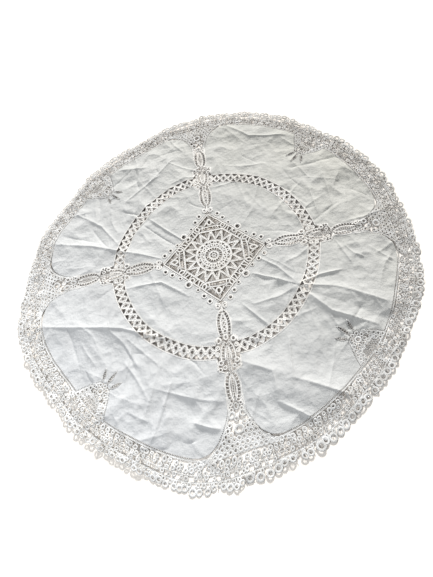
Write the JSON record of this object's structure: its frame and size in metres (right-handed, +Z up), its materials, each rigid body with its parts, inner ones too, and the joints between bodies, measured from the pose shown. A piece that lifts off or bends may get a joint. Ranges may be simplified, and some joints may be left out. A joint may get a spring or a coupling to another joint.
{
  "type": "round tape-lace tablecloth",
  "caption": "Round cotton tablecloth laid out flat, with a square lace middle, lace spokes and ring, cotton panels and a wide lace border edged with loops.",
  "frame": {"origin": "on the underside, at the middle of the cloth", "axes": "+Z up, square to the table; the four lace spokes run along +X, +Y, -X and -Y"},
  "size_m": [0.9142, 0.9142, 0.0104],
  "materials": {
    "cotton_cloth": "plain-weave bleached cotton, matt, lightly creased",
    "lace_tape": "woven off-white cotton lace tape, matt, with a corded edge",
    "needle_lace": "off-white cotton thread, needle-made bars, webs and small rings between tapes"
  },
  "bodies": {
    "root": {"medallion_rosette": "needle_lace", "medallion_star": "lace_tape", "medallion_frame": "lace_tape", "medallion_corner_eyelet_1": "needle_lace", "medallion_corner_eyelet_2": "needle_lace", "medallion_corner_eyelet_3": "needle_lace", "medallion_corner_eyelet_4": "needle_lace", "medallion_edging_1": "needle_lace", "medallion_edging_2": "needle_lace", "medallion_edging_3": "needle_lace", "medallion_edging_4": "needle_lace", "spoke_inner_leaf_1": "lace_tape", "spoke_inner_leaf_2": "lace_tape", "spoke_inner_leaf_3": "lace_tape", "spoke_inner_leaf_4": "lace_tape", "spoke_crossing_1": "lace_tape", "spoke_crossing_2": "lace_tape", "spoke_crossing_3": "lace_tape", "spoke_crossing_4": "lace_tape", "spoke_outer_leaf_1": "lace_tape", "spoke_outer_leaf_2": "lace_tape", "spoke_outer_leaf_3": "lace_tape", "spoke_outer_leaf_4": "lace_tape", "border_fan_1": "needle_lace", "border_fan_2": "needle_lace", "border_fan_3": "needle_lace", "border_fan_4": "needle_lace", "corner_motif_1": "needle_lace", "corner_motif_2": "needle_lace", "corner_motif_3": "needle_lace", "corner_motif_4": "needle_lace", "inner_panel_1": "cotton_cloth", "inner_panel_2": "cotton_cloth", "inner_panel_3": "cotton_cloth", "inner_panel_4": "cotton_cloth", "outer_panel_1": "cotton_cloth", "outer_panel_2": "cotton_cloth", "outer_panel_3": "cotton_cloth", "outer_panel_4": "cotton_cloth", "ring_band_1": "lace_tape", "ring_band_2": "lace_tape", "ring_band_3": "lace_tape", "ring_band_4": "lace_tape", "border_band_1": "needle_lace", "border_band_2": "needle_lace", "border_band_3": "needle_lace", "border_band_4": "needle_lace", "border_band_5": "needle_lace", "border_band_6": "needle_lace", "border_band_7": "needle_lace", "border_band_8": "needle_lace", "edge_loops_1": "lace_tape", "edge_loops_2": "lace_tape", "edge_loops_3": "lace_tape", "edge_loops_4": "lace_tape", "edge_loops_5": "lace_tape", "edge_loops_6": "lace_tape", "edge_loops_7": "lace_tape", "edge_loops_8": "lace_tape"}
  },
  "joints": []
}
